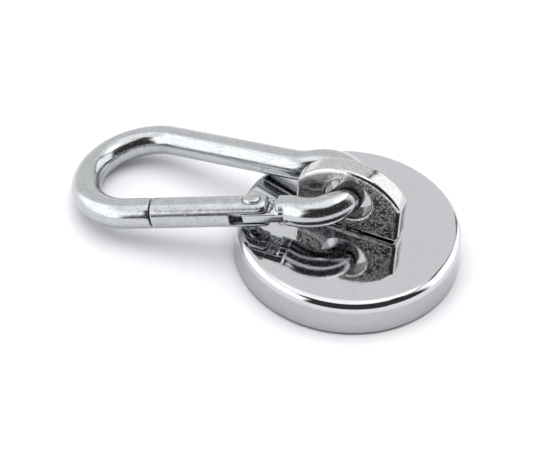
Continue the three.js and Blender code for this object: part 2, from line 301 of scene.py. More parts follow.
def rounded_plate(name, arcs, half_thickness, edge_round, hole=None, hole_round=0.3, place=np.eye(4),
                  back_round=None):
    """A flat plate in X and Y with rounded edges, and a round hole given as (x, y, radius). back_round
    is the size of the edge on the -Z side where it differs."""
    quarter = np.linspace(0, math.pi / 2, 7)
    back_round = back_round or edge_round

    def rounding(size):
        """How far in and how high each ring of an edge's quarter round lies, from the flat outwards."""
        return [(size * (1 - math.sin(a)), half_thickness - size * (1 - math.cos(a))) for a in quarter]

    def at_height(spots, height):
        return np.column_stack([spots, np.full(len(spots), height)])

    back = [(inset, -height) for inset, height in rounding(back_round)]
    edge = back + [(0, 0)] + rounding(edge_round)[::-1]
    rings = [at_height(arc_outline(arcs, inset), height) for inset, height in edge]
    flat = [arc_outline(arcs, max(edge_round, back_round) + SUPPORT)]
    if hole is None:
        centre = flat[0].mean(axis=0)
        flat += [centre + (flat[0] - centre) * share for share in (0.66, 0.33)]
        top = [at_height(spots, half_thickness) for spots in flat]
        bottom = [at_height(spots, -half_thickness) for spots in flat[::-1]]
        return skin(name, np.array(bottom + rings + top), place)
    x, y, radius = hole
    angle = np.arctan2(flat[0][:, 1] - y, flat[0][:, 0] - x)

    def circle(size):
        return np.stack([x + size * np.cos(angle), y + size * np.sin(angle)], 1)

    rim = circle(radius + hole_round + SUPPORT)
    flat += [rim * share + flat[0] * (1 - share) for share in (0.25, 0.5, 0.75, 1.0)]
    top = [at_height(spots, half_thickness) for spots in flat]
    top += [at_height(circle(radius + inset), height) for inset, height in rounding(hole_round)]
    middle = [at_height(circle(radius), 0)]
    bottom = [ring * np.array([1, 1, -1]) for ring in top[::-1]]
    return skin(name, np.array(bottom + rings + top + middle), place, closed=True)


def combine(piece, other, operation):
    """Joins or cuts piece with other, and removes other."""
    modifier = piece.modifiers.new("combine", "BOOLEAN")
    modifier.operation = operation
    modifier.solver = "EXACT"
    modifier.object = other
    bpy.context.view_layer.update()
    made = bpy.data.meshes.new_from_object(piece.evaluated_get(bpy.context.evaluated_depsgraph_get()))
    piece.modifiers.remove(modifier)
    piece.data = made
    bpy.data.objects.remove(other)


def sharpen(piece, degrees=32):
    piece.data.set_sharp_from_angle(angle=math.radians(degrees))


# ---- meshes from a distance field ----


def smooth_union(a, b, size):
    blend = np.clip(0.5 + 0.5 * (b - a) / size, 0, 1)
    return b + (a - b) * blend - size * blend * (1 - blend)


def smooth_cut(a, b, size):
    return -smooth_union(-a, b, size)


def smooth_common(a, b, size):
    return -smooth_union(-a, -b, size)


def box_distance(p, low, high, rounding=0.0):
    middle = (np.array(low) + high) / 2
    half = (np.array(high) - low) / 2 - rounding
    q = np.abs(p - middle) - half
    outside = np.linalg.norm(np.maximum(q, 0), axis=-1)
    return outside + np.minimum(q.max(axis=-1), 0) - rounding


def net_over(name, field, low, high, step, place):
    """Surface nets: one point in each cell that the surface crosses, then eased onto the surface."""
    axes = [np.arange(low[k], high[k] + step, step) for k in range(3)]
    grid = np.stack(np.meshgrid(*axes, indexing="ij"), -1)
    value = field(grid)
    inside = value < 0
    cells = tuple(n - 1 for n in value.shape)
    # Each cell's point is the middle of the places where its edges cross the surface.
    total = np.zeros(cells + (3,))
    crossings = np.zeros(cells)
    for axis in range(3):
        head = [slice(None)] * 3
        tail = [slice(None)] * 3
        head[axis], tail[axis] = slice(0, -1), slice(1, None)
        head, tail = tuple(head), tuple(tail)
        crossed = inside[head] != inside[tail]
        share = np.where(crossed, value[head] / np.where(crossed, value[head] - value[tail], 1), 0)
        spot = grid[head] + (grid[tail] - grid[head]) * share[..., None]
        others = [k for k in range(3) if k != axis]
        for shift in ((0, 0), (0, 1), (1, 0), (1, 1)):
            window = [slice(None)] * 3
            for k, s in zip(others, shift):
                window[k] = slice(s, s + cells[k])
            window = tuple(window)
            total += np.where(crossed[window][..., None], spot[window], 0)
            crossings += crossed[window]
    used = crossings > 0
    number = np.full(cells, -1)
    number[used] = np.arange(used.sum())
    points = total[used] / crossings[used][:, None]
    # Each crossed edge gets a face through the points of the four cells round it.
    faces = []
    for axis in range(3):
        head = [slice(1, -1)] * 3
        tail = [slice(1, -1)] * 3
        head[axis], tail[axis] = slice(0, -1), slice(1, None)
        where = np.argwhere(inside[tuple(head)] != inside[tuple(tail)])
        where += [0 if k == axis else 1 for k in range(3)]
        first, second = [k for k in range(3) if k != axis]
        corner = []
        for a, b in ((0, 0), (1, 0), (1, 1), (0, 1)):
            cell = where.copy()
            cell[:, first] -= a
            cell[:, second] -= b
            corner.append(number[tuple(cell.T)])
        faces.append(np.stack(corner, 1))
    faces = np.vstack(faces)
    for _ in range(3):
        points = eased(points, faces)
        for _ in range(3):  # steps down the field's slope onto the surface
            points = points - slope(field, points) * field(points)[:, None]
    piece = make_object(name, points, faces.tolist(), place)
    normals = slope(field, points) @ place[:3, :3].T
    piece.data.normals_split_custom_set_from_vertices(normals.tolist())
    return piece


def eased(points, faces):
    """Moves each point half way to the middle of its faces, which evens out the net."""
    centres = points[faces].mean(axis=1)
    total = np.zeros_like(points)
    count = np.zeros(len(points))
    for column in range(4):
        np.add.at(total, faces[:, column], centres)
        np.add.at(count, faces[:, column], 1)
    return (points + total / count[:, None]) / 2


def slope(field, points, reach=0.01):
    """The field's unit gradient."""
    gradient = np.stack([
        field(points + reach * np.eye(3)[k]) - field(points - reach * np.eye(3)[k]) for k in range(3)
    ], -1)
    return gradient / np.maximum(np.linalg.norm(gradient, axis=-1, keepdims=True), 1e-9)


# ---- hook outline in its own plane: x from the small end to the big end, y towards the gate ----

LONGEST_STEP = 1.6  # between two points of the wire's centre line
small_centre = np.array([SMALL_RADIUS, 0.0])


def straight_side(sign, offset, angle):
    """One straight side: its direction, outward normal, reverse bend centre and where it is straight."""
    along = np.array([math.cos(angle), sign * math.sin(angle)])
    outward = np.array([-math.sin(angle), sign * math.cos(angle)])
    across = offset + NECK_RADIUS
    reach = math.sqrt((SMALL_RADIUS + NECK_RADIUS) ** 2 - across**2)
    neck_centre = small_centre + outward * across + along * reach
    return along, outward, neck_centre, neck_centre - outward * NECK_RADIUS


_, spine_outward, spine_neck, spine_start = straight_side(-1, SPINE_OFFSET, SPINE_ANGLE)
gate_along, gate_outward, gate_neck, gate_start = straight_side(1, GATE_OFFSET, GATE_ANGLE)
bow_centre = np.linalg.solve(
    np.array([spine_outward, gate_outward]),
    np.array([spine_outward @ spine_start - BOW_RADIUS, gate_outward @ gate_start - BOW_RADIUS]),
)
rivet_place = gate_start + gate_along * RIVET_FROM_NECK
body_end = rivet_place + gate_along * (GATE_LENGTH + GATE_GAP)


def angle_of(point, centre):
    return math.atan2(point[1] - centre[1], point[0] - centre[0])


def arc_points(centre, radius, start, end, spacing=0.7):
    steps = math.ceil(abs(end - start) * radius / spacing)
    angles = np.linspace(start, end, steps + 1)
    return centre + radius * np.stack([np.cos(angles), np.sin(angles)], 1)


def hook_path():
    """The wire's centre line, from the shoulder at the hinge round to the end that meets the gate."""
    share = SMALL_RADIUS / (SMALL_RADIUS + NECK_RADIUS)
    gate_join = small_centre + (gate_neck - small_centre) * share
    spine_join = small_centre + (spine_neck - small_centre) * share
    shoulder = angle_of(gate_start, gate_neck) - SHOULDER_SETBACK / NECK_RADIUS
    parts = [
        arc_points(gate_neck, NECK_RADIUS, shoulder, angle_of(gate_join, gate_neck)),
        arc_points(small_centre, SMALL_RADIUS, angle_of(gate_join, small_centre),
                   angle_of(spine_join, small_centre) + 2 * math.pi),
        arc_points(spine_neck, NECK_RADIUS, angle_of(spine_join, spine_neck),
                   angle_of(spine_start, spine_neck)),
        arc_points(bow_centre, BOW_RADIUS, math.atan2(spine_outward[1], spine_outward[0]),
                   math.atan2(gate_outward[1], gate_outward[0])),
        body_end[None],
    ]
    path = [parts[0][0]]
    for point in np.vstack(parts):
        gap = np.linalg.norm(point - path[-1])
        if gap > 1e-6:
            path += list(np.linspace(path[-1], point, math.ceil(gap / LONGEST_STEP) + 1)[1:])
    return np.array(path)


hook_length = bow_centre[0] + BOW_RADIUS
lean = math.asin((HOOK_AXIS_HEIGHT - WIRE_RADIUS - FLOOR_GAP) / hook_length)
hook_to_part = np.array([
    [-math.cos(lean), 0, -math.sin(lean), 0],
    [0, -1, 0, 0],
    [-math.sin(lean), 0, math.cos(lean), HOOK_AXIS_HEIGHT],
    [0, 0, 0, 1],
])
gate_to_hook = np.array([
    [gate_along[0], gate_outward[0], 0, rivet_place[0]],
    [gate_along[1], gate_outward[1], 0, rivet_place[1]],
    [0, 0, 1, 0],
    [0, 0, 0, 1],
])
gate_to_part = hook_to_part @ gate_to_hook

# ---- magnet pot ----


def make_cup_shell():
    bore = PLATE_HOLE_RADIUS
    profile = rounded_profile([
        (bore, PLATE_UNDERSIDE + 0.5, 0),
        (bore, PLATE_UNDERSIDE, 0.15),
        (CAVITY_RADIUS, PLATE_UNDERSIDE, 0.4),
        (CAVITY_RADIUS, 0, 0.3),
        (CUP_RADIUS, 0, 0.65),
        (CUP_TOP_RADIUS, CUP_HEIGHT, CUP_EDGE_ROUND),
        (bore, CUP_HEIGHT, 0.15),
        (bore, PLATE_UNDERSIDE + 1, 0),
    ], steps=10)
    return turned("pot_shell", profile, 192, closed=True)


def make_ring_magnet():
    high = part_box("ring_magnet")[1]
    inner, outer, top = MAGNET_HOLE_RADIUS, high.x / MM, high.z / MM
    profile = rounded_profile([
        (inner, top / 2, 0),
        (inner, 0, 0.3),
        (outer, 0, 0.3),
        (outer, top, 0.3),
        (inner, top, 0.3),
        (inner, top / 2 + 0.1, 0),
    ])
    return turned("magnet_ring", profile, 128, closed=True)


def make_magnet_resin():
    """Cast resin whose free face sags between the magnet and the wall."""
    low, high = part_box("magnet_resin")
    outer, top, bottom = high.x / MM, high.z / MM, low.z / MM
    inner = outer - RESIN_WIDTH
    sag = [(inner + RESIN_WIDTH * share, bottom + RESIN_SAG * math.sin(math.pi * share))
           for share in np.linspace(0, 1, 9)]
    profile = np.array([(inner, top), (inner, top / 2)] + sag + [(outer, top / 2), (outer, top)])
    return turned("resin_fill", profile, 128, closed=True)


def make_centre_plug():
    """A potted plug, dished a little as the resin shrank."""
    dish_radius = 0.94 * PLUG_RADIUS
    dish = [(dish_radius * share, PLUG_SAG * (1 - share**2)) for share in np.linspace(0.06, 1, 12)]
    edge = [(PLUG_RADIUS - 0.05, 0.06), (PLUG_RADIUS, 0.2), (PLUG_RADIUS, PLUG_TOP), (0.3, PLUG_TOP)]
    return turned("resin_plug", np.array(dish + edge), 96)


def make_swivel_washer():
    low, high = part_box("swivel_washer")
    bottom, top, outer, inner = low.z / MM, high.z / MM, high.x / MM, PLATE_HOLE_RADIUS
    profile = rounded_profile([
        (inner, (bottom + top) / 2, 0),
        (inner, bottom, 0.12),
        (outer, bottom, 0.3),
        (outer, top, 0.12),
        (inner, top, 0.12),
        (inner, (bottom + top) / 2 + 0.05, 0),
    ])
    return turned("swivel_washer_round", profile, 96, closed=True)


# ---- eye ----


def make_eye_lug():
    arch_centre = EYE_SIDE_TOP - math.sqrt(EYE_ARCH_RADIUS**2 - EYE_HALF_WIDTH**2)
    r = EYE_CORNER_ROUND
    side = EYE_HALF_WIDTH - r
    turn = math.acos(side / (EYE_ARCH_RADIUS - r))
    corner_height = arch_centre + (EYE_ARCH_RADIUS - r) * math.sin(turn)
    low = EYE_WING + r
    outline = [
        (side, corner_height, r, 0, turn),
        (0, arch_centre, EYE_ARCH_RADIUS, turn, math.pi - turn),
        (-side, corner_height, r, math.pi - turn, math.pi),
        (-side, low, r, math.pi, 1.5 * math.pi),
        (side, low, r, 1.5 * math.pi, 2 * math.pi),
    ]
    upright = np.array([[1, 0, 0, 0], [0, 0, -1, 0], [0, 1, 0, 0], [0, 0, 0, 1]], float)
    plate = rounded_plate("swivel_eye", outline, EYE_HALF_THICKNESS, EYE_FRONT_ROUND,
                          (0, EYE_HOLE_HEIGHT, EYE_HOLE_RADIUS), EYE_HOLE_ROUND, upright, EYE_BACK_ROUND)
    head_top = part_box("swivel_washer")[0].z / MM - RUNNING_GAP
    head_bottom = head_top - SHANK_HEAD_HEIGHT
    stem = rounded_profile([
        (0.3, head_bottom, 0),
        (SHANK_HEAD_RADIUS, head_bottom, 0.45),
        (SHANK_HEAD_RADIUS, head_top, 0.15),
        (SHANK_RADIUS, head_top, 0.1),
        (SHANK_RADIUS, EYE_WING + 1, 0.1),
        (0.3, EYE_WING + 1, 0),
    ])
    combine(plate, turned("stem", stem, 96), "UNION")
    width, depth = EYE_FOOT_HALF_WIDTH, EYE_FOOT_HALF_DEPTH
    foot = square_outline(-width, width, -depth, depth, EYE_FOOT_ROUND)
    lift = np.eye(4)
    lift[2, 3] = EYE_FOOT + EYE_FOOT_HALF_HEIGHT
    combine(plate, rounded_plate("foot", foot, EYE_FOOT_HALF_HEIGHT, 0.1, place=lift), "UNION")
    sharpen(plate)
    return plate


# ---- snap hook ----


def wire_rings(path, sides, start_round, end_round):
    """Rings of round wire along a flat path, with rounded rims at both ends."""
    along = np.gradient(path, axis=0)
    along /= np.linalg.norm(along, axis=1)[:, None]
    rims = []
    for size, spot, direction in ((start_round, path[0], along[0]), (end_round, path[-1], -along[-1])):
        quarter = np.linspace(0, math.pi / 2, 6)
        rims.append([(spot + direction * size * (1 - math.sin(a)), WIRE_RADIUS - size * (1 - math.cos(a)))
                     for a in quarter[::-1]])
    # A station is a ring's middle, its radius and the wire's direction there.
    stations = [(point, radius, along[0]) for point, radius in rims[0]]
    lengths = np.concatenate([[0], np.cumsum(np.linalg.norm(np.diff(path, axis=0), axis=1))])
    for point, direction, run in zip(path, along, lengths):
        if start_round + 0.05 < run < lengths[-1] - end_round - 0.05:
            stations.append((point, WIRE_RADIUS, direction))
    stations += [(point, radius, along[-1]) for point, radius in rims[1][::-1]]
    angles = np.arange(sides) * 2 * math.pi / sides
    caps = []
    for point, radius, direction in (stations[0], stations[-1]):
        caps.append([(point, radius * share, direction) for share in (0.35, 0.7, 0.97)])
    rings = []
    for point, radius, direction in caps[0] + stations + caps[1][::-1]:
        side = np.array([-direction[1], direction[0]])
        ring = np.zeros((sides, 3))
        ring[:, :2] = point + radius * np.cos(angles)[:, None] * side
        ring[:, 2] = radius * np.sin(angles)
        rings.append(ring)
    return np.array(rings)


def lumps(p, size):
    """Smooth unevenness of 1.6 at most either way, with bumps about size apart."""
    x, y, z = (p[..., k] * 2 * math.pi / size for k in range(3))
    large = np.sin(0.9 * x + 0.5 * y + 0.4) * np.sin(0.8 * y - 0.6 * z + 1.1)
    small = np.sin(1.7 * x - 1.1 * y + 2.0) * np.sin(1.4 * y + 0.9 * x + 0.7)
    return large + 0.6 * small


def hinge_field(p):
    """Distance to the forged end of the hook in the gate's axes: a tongue that swells into the wire."""
    x, y, z = p[..., 0], p[..., 1], p[..., 2]
    tongue = box_distance(p, (HINGE_ROOT, -TONGUE_HALF_WIDTH, -TONGUE_HALF_THICKNESS),
                          (TONGUE_TIP, TONGUE_HALF_WIDTH, TONGUE_HALF_THICKNESS), 0.45)
    block = box_distance(p, (HINGE_ROOT, -BLOCK_HALF_WIDTH, -BLOCK_HALF_THICKNESS),
                         (BLOCK_END, BLOCK_HALF_WIDTH, BLOCK_HALF_THICKNESS), 0.5)
    stub = box_distance(p, (HINGE_ROOT, -STUB_HALF_WIDTH, -STUB_HALF_THICKNESS),
                        (STUB_END, STUB_HALF_WIDTH, STUB_HALF_THICKNESS), 0.5)
    stub = smooth_common(stub, np.hypot(y, z) - WIRE_RADIUS + 0.1, 0.3)
    solid = smooth_union(smooth_union(tongue, block, 0.5), stub, 0.5)
    # The block is rough from the hammer, on its two broad faces only, and fades to smooth at their edges.
    rough = np.clip((x - STUB_END + 0.3) / 0.4, 0, 1) * np.clip((-WIRE_RADIUS - x) / 0.3, 0, 1)
    rough *= np.clip((BLOCK_HALF_WIDTH - 0.1 - np.abs(y)) / 0.4, 0, 1)
    rough *= np.clip((np.abs(z) - BLOCK_HALF_THICKNESS + 0.7) / 0.3, 0, 1)
    solid = solid + HAMMER_DEPTH * rough * lumps(p, 1.5)
    return smooth_cut(solid, np.hypot(x, y) - RIVET_RADIUS - RUNNING_GAP, 0.1)


def make_hook_body():
    rings = wire_rings(hook_path(), WIRE_SIDES, SHOULDER_ROUND, WIRE_END_ROUND)
    body = skin("hook_wire", rings, hook_to_part)
    reach = WIRE_RADIUS + 0.2
    hinge = net_over("hinge", hinge_field, (HINGE_ROOT - 0.2, -reach, -reach),
                     (TONGUE_TIP + 0.2, reach, reach), HINGE_NET_STEP, gate_to_part)
    combine(body, hinge, "UNION")
    # The slot in the wire's end that the gate's latch goes into, open on the inner side.
    face = GATE_LENGTH + GATE_GAP
    slot = square_outline(face - 1, face + LATCH_LENGTH + 0.1, -2 * WIRE_RADIUS, LATCH_TOP + GATE_GAP, 0.3)
    half_slot = LATCH_HALF_THICKNESS + GATE_GAP
    combine(body, rounded_plate("slot", slot, half_slot, 0.1, place=gate_to_part), "DIFFERENCE")
    sharpen(body)
    return body


def gate_field(p):
    """Distance to the gate in its own axes: x from rivet to tip, y outwards, z along the rivet."""
    x, y, z = p[..., 0], p[..., 1], p[..., 2]
    from_axis = np.hypot(y, z)
    from_rivet = np.hypot(x, y)
    sleeve = smooth_common(from_axis - WIRE_RADIUS, x - GATE_LENGTH, 0.3)
    ears = box_distance(p[..., :2], (-WIRE_RADIUS, -EAR_HALF_WIDTH), (2 * GATE_LENGTH, EAR_HALF_WIDTH),
                        EAR_CORNER_RADIUS)
    sleeve = smooth_common(sleeve, ears, 0.9)
    bore = np.maximum(from_axis - BORE_RADIUS, np.maximum(BORE_START - x, x - BORE_END))
    fork = np.maximum(np.abs(z) - FORK_HALF_GAP, x - FORK_DEPTH)
    seats = np.maximum(from_rivet - RIVET_HEAD_RADIUS - RUNNING_GAP, RIVET_SEAT - 0.02 - np.abs(z))
    pin_hole = from_rivet - RIVET_RADIUS - RUNNING_GAP
    latch = box_distance(p, (GATE_LENGTH - 1, LATCH_BOTTOM, -LATCH_HALF_THICKNESS),
                         (GATE_LENGTH + LATCH_LENGTH, LATCH_TOP, LATCH_HALF_THICKNESS), 0.15)
    solid = smooth_cut(sleeve, bore, 0.1)
    solid = smooth_cut(solid, fork, 0.3)
    solid = smooth_cut(solid, pin_hole, 0.1)
    solid = smooth_cut(solid, seats, 0.15)
    return smooth_union(solid, latch, 0.1)


def make_gate_sleeve():
    reach = WIRE_RADIUS + 0.3
    high = (GATE_LENGTH + LATCH_LENGTH + 0.3, reach, reach)
    return net_over("gate_tube", gate_field, (-reach, -reach, -reach), high, GATE_NET_STEP, gate_to_part)


def make_gate_rivet():
    """A pin with a dome at each end, which the hammer left uneven, narrow and pushed inwards."""
    rise = RIVET_TOP - RIVET_SEAT
    quarter = np.linspace(0.12, math.pi / 2, 12)
    dome = [(RIVET_HEAD_RADIUS * math.sin(a) ** 0.7, RIVET_SEAT + rise * math.cos(a) ** 0.6) for a in quarter]
    pin = [(RIVET_RADIUS + 0.1, RIVET_SEAT), (RIVET_RADIUS, RIVET_SEAT - 0.1), (RIVET_RADIUS, 0.1)]
    top = np.array(dome + pin)
    rings = lathe_rings(np.vstack([top, (top * [1, -1])[::-1]]), 48)
    head = np.abs(rings[..., 2]) > RIVET_SEAT - 0.01
    uneven = np.clip((np.abs(rings[..., 2]) - RIVET_SEAT) / rise, 0, 1) * lumps(rings, 2.6)
    rings[..., 2] -= RIVET_DENT * np.sign(rings[..., 2]) * (1 + uneven) * head
    rings[..., 1] = np.where(head, RIVET_HEAD_NARROWING * rings[..., 1] - RIVET_HEAD_SHIFT, rings[..., 1])
    return skin("rivet_pin", rings, gate_to_part)


def make_gate_plunger():
    profile = rounded_profile([
        (0.2, PLUNGER_START, 0),
        (PLUNGER_RADIUS, PLUNGER_START, 0.35),
        (PLUNGER_RADIUS, PLUNGER_END, 0.12),
        (0.2, PLUNGER_END, 0),
    ])
    return turned("plunger_pin", profile, 48, gate_to_part @ LYING)


def make_gate_spring():
    steps_per_turn, sides = 24, 12
    share = np.linspace(0, 1, SPRING_TURNS * steps_per_turn + 1)
    angle = 2 * math.pi * SPRING_TURNS * share
    along_bore = SPRING_START + (SPRING_END - SPRING_START) * share
    spot = np.stack([along_bore, SPRING_COIL * np.cos(angle), SPRING_COIL * np.sin(angle)], 1)
    out = np.stack([np.zeros_like(angle), np.cos(angle), np.sin(angle)], 1)
    along = np.gradient(spot, axis=0)
    along /= np.linalg.norm(along, axis=1)[:, None]
    across = np.cross(along, out)
    around = (np.arange(sides) * 2 * math.pi / sides)[None, :, None]
    section = np.cos(around) * out[:, None] + np.sin(around) * across[:, None]
    return skin("spring_coil", spot[:, None] + SPRING_WIRE * section, gate_to_part)


# ---- materials ----


def add_node(tree, kind, inputs=None, **settings):
    """Makes a node. An input's value is a number or colour, or another node's output to link."""
    node = tree.nodes.new(kind)
    for key, value in settings.items():
        setattr(node, key, value)
    for key, value in (inputs or {}).items():
        if isinstance(value, bpy.types.NodeSocket):
            tree.links.new(value, node.inputs[key])
        else:
            node.inputs[key].default_value = value
    return node


def noise(tree, vector, scale, detail=2.0, roughness=0.5):
    made = add_node(tree, "ShaderNodeTexNoise",
                    {"Vector": vector, "Scale": scale, "Detail": detail, "Roughness": roughness})
    return made.outputs["Fac"]


def remap(tree, value, from_start, from_end, to_start=0.0, to_end=1.0, **settings):
    """A ramp from to_start, where value is from_start, to to_end, where it is from_end, and level outside."""
    made = add_node(tree, "ShaderNodeMapRange", {
        "Value": value, "From Min": from_start, "From Max": from_end, "To Min": to_start, "To Max": to_end,
    }, **settings)
    return made.outputs["Result"]


def math_node(tree, operation, first, second=0.0):
    return add_node(tree, "ShaderNodeMath", {0: first, 1: second}, operation=operation).outputs[0]


def mix_colours(tree, share, first, second):
    return add_node(tree, "ShaderNodeMix", {0: share, 6: first, 7: second}, data_type="RGBA").outputs[2]


def scaled(tree, vector, scale, turn=(0, 0, 0)):
    made = add_node(tree, "ShaderNodeMapping", {"Vector": vector, "Scale": scale, "Rotation": turn})
    return made.outputs["Vector"]


def scratches(tree, places, turn, stretch, cutoff):
    """Thin broken lines: stretched noise, of which only the highest crests are kept."""
    vector = scaled(tree, places, stretch, turn)
    return remap(tree, noise(tree, vector, 1.0, 3.0), cutoff, cutoff + 0.05)


def darkened(colour, share):
    return (*(channel * share for channel in colour), 1)


class Surface:
    """A material while its patterns are added up. Its places and heights are in millimetres."""

    def __init__(self, name, metallic):
        self.material = bpy.data.materials.new(name)
        self.material.use_nodes = True
        self.tree = self.material.node_tree
        self.shader = self.tree.nodes["Principled BSDF"]
        self.shader.inputs["Metallic"].default_value = metallic
        spots = add_node(self.tree, "ShaderNodeTexCoord").outputs
        self.uv = spots["UV"]
        self.places = scaled(self.tree, spots["Object"], (1 / MM, 1 / MM, 1 / MM))
        self.tint = None
        self.roughness = self.height = self.darkness = 0.0

    def add(self, layer, pattern, amount=1.0):
        """Adds a pattern, amount times, to the roughness, the height or the darkness."""
        more = math_node(self.tree, "MULTIPLY", pattern, amount)
        setattr(self, layer, math_node(self.tree, "ADD", getattr(self, layer), more))

    def finished(self):
        bump = add_node(self.tree, "ShaderNodeBump", {"Strength": 1.0, "Distance": MM, "Height": self.height})
        self.tree.links.new(self.tint, self.shader.inputs["Base Color"])
        self.tree.links.new(self.roughness, self.shader.inputs["Roughness"])
        self.tree.links.new(bump.outputs["Normal"], self.shader.inputs["Normal"])
        return self.material


DARKEST = 0.35  # the share of a metal's own tint that its darkest spots keep
STAIN = (0.33, 0.293, 0.285, 1)


def metal(name, colour, dull, roughness, peel, grain, flecks, marks=()):
    """A worn metal. dull is the share of its tint that dull spots keep, roughness its least and most,
    and flecks how dark its specks are. peel is the height of its soft waves and grain that of its
    fine tooth, in millimetres. marks are (function, size) pairs for what else it carries."""
    coat = Surface(name, 1.0)
    tree, places = coat.tree, coat.places
    blotch = noise(tree, places, 0.45, 4.0, 0.62)
    speck = remap(tree, noise(tree, places, 2.6, 3.0, 0.65), 0.5, 0.72)
    scratch = math_node(tree, "MAXIMUM", scratches(tree, places, (0.3, 0.5, 0.4), (0.25, 9.0, 9.0), 0.70),
                        scratches(tree, places, (1.1, 0.2, 2.0), (0.3, 11.0, 11.0), 0.71))
    coat.tint = mix_colours(tree, remap(tree, blotch, 0.35, 0.75), (*colour, 1), darkened(colour, dull))
    coat.roughness = remap(tree, blotch, 0.3, 0.75, *roughness)
    coat.add("roughness", scratch, 0.09)
    coat.add("height", noise(tree, places, 0.7, 1.0), peel)
    coat.add("height", noise(tree, places, 7.0, 3.0), grain)
    coat.add("height", scratch, -grain)
    coat.add("darkness", speck, flecks)
    for add_mark, size in marks:
        add_mark(coat, size)
    # The darkness darkens the tint; it holds random specks and, where a mark adds it, painted shade.
    coat.tint = mix_colours(tree, coat.darkness, coat.tint, darkened(colour, DARKEST))
    return coat.finished()


def draw_lines(coat, depth):
    """Lines along the wire, left from when it was drawn."""
    drawn = noise(coat.tree, scaled(coat.tree, coat.uv, (0.22, 2.6, 1.0)), 1.0, 4.0, 0.7)
    coat.add("height", drawn, depth)
    coat.add("roughness", remap(coat.tree, drawn, 0.45, 0.75), 0.1)
    coat.add("darkness", remap(coat.tree, drawn, 0.5, 0.8), 0.3)


def pits(coat, depth):
    pit = remap(coat.tree, noise(coat.tree, coat.places, 3.2, 2.0), 0.66, 0.72)
    coat.add("height", pit, -depth)
    coat.add("roughness", pit, 0.25)


def painted_wall_shade(coat, top):
    """Below the height top the metal is painted darker, a painted shade on the side wall, and it is painted
    darker still at the foot, a painted contact shadow.
    """
    high = add_node(coat.tree, "ShaderNodeSeparateXYZ", {0: coat.places}).outputs["Z"]
    # Painted shade: the side wall below top is darkened.
    coat.add("darkness", remap(coat.tree, high, top, top - 0.6), 0.38)
    # Painted contact shadow: the lowest 0.8 mm of the cup is darkened.
    coat.add("darkness", remap(coat.tree, high, 0.8, 0.5), 0.8)


def cast_plate_and_hole_shade(coat, half_thickness):
    """The eye's two faces are coarse and stained, as cast, and the wall of its hole is painted dark, a
    painted shade.
    """
    tree = coat.tree
    across, off_middle, high = add_node(tree, "ShaderNodeSeparateXYZ", {0: coat.places}).outputs
    above_hole = math_node(tree, "SUBTRACT", high, EYE_HOLE_HEIGHT)
    squares = [math_node(tree, "MULTIPLY", side, side) for side in (across, above_hole)]
    from_hole = math_node(tree, "SQRT", math_node(tree, "ADD", *squares))
    # Painted shade: the wall of the hole and a thin band round its rim are darkened.
    coat.add("darkness", remap(tree, from_hole, EYE_HOLE_RADIUS + 0.35, EYE_HOLE_RADIUS + 0.1), 0.95)
    face = half_thickness - 0.02
    on_face = remap(tree, math_node(tree, "ABSOLUTE", off_middle), face - 0.1, face)
    patch = math_node(tree, "MULTIPLY", on_face,
                      remap(tree, noise(tree, coat.places, 1.2, 4.0, 0.75), 0.49, 0.58))
    coat.add("height", patch, 0.012)
    coat.add("roughness", patch, 0.06)
    coat.tint = mix_colours(tree, patch, coat.tint, STAIN)


def resin_material():
    """Black potting resin with fine dust and a few burst bubbles."""
    coat = Surface("potting_resin", 0.0)
    cloud = noise(coat.tree, coat.places, 0.8, 4.0)
    bubble = add_node(coat.tree, "ShaderNodeTexVoronoi", {"Vector": coat.places, "Scale": 0.9})
    coat.tint = mix_colours(coat.tree, cloud, (0.012, 0.012, 0.014, 1), (0.035, 0.034, 0.036, 1))
    coat.roughness = remap(coat.tree, cloud, 0.3, 0.7, 0.3, 0.55)
    coat.add("height", remap(coat.tree, bubble.outputs["Distance"], 0.05, 0.2), 0.06)
    coat.add("height", cloud, 0.08)
    return coat.finished()


# The cup's chrome carries painted shade on its side wall and a painted contact shadow at its foot.
cup_chrome = metal("cup_chrome", (0.62, 0.63, 0.65), 0.95, (0.03, 0.08), 0.005, 0.001, 0.15,
                   [(painted_wall_shade, CUP_HEIGHT - CUP_EDGE_ROUND)])
# The eye's chrome carries painted shade on the wall of its hole.
eye_chrome = metal("eye_chrome", (0.63, 0.625, 0.63), 0.88, (0.05, 0.13), 0.03, 0.005, 0.45,
                   [(cast_plate_and_hole_shade, EYE_HALF_THICKNESS)])
magnet_nickel = metal("magnet_nickel", (0.50, 0.49, 0.46), 0.85, (0.18, 0.34), 0.01, 0.004, 0.2)
hook_zinc = metal("hook_zinc", (0.545, 0.56, 0.573), 0.90, (0.09, 0.19), 0.012, 0.003, 0.3,
                  [(draw_lines, 0.012), (pits, 0.008)])
gate_zinc = metal("gate_zinc", (0.54, 0.555, 0.57), 0.82, (0.13, 0.26), 0.02, 0.005, 0.4, [(pits, 0.02)])
rivet_steel = metal("rivet_steel", (0.55, 0.555, 0.56), 0.85, (0.12, 0.28), 0.05, 0.006, 0.45)
washer_steel = metal("washer_steel", (0.46, 0.46, 0.47), 0.8, (0.25, 0.42), 0.01, 0.004, 0.2)
spring_steel = metal("spring_steel", (0.42, 0.42, 0.44), 0.85, (0.2, 0.32), 0.004, 0.002, 0.2)
resin = resin_material()

# ---- pieces: the maker, the CAD node it stands for, its body, its slot and its material ----
# The spring has two bodies: it shortens between the plunger and the end of the bore.

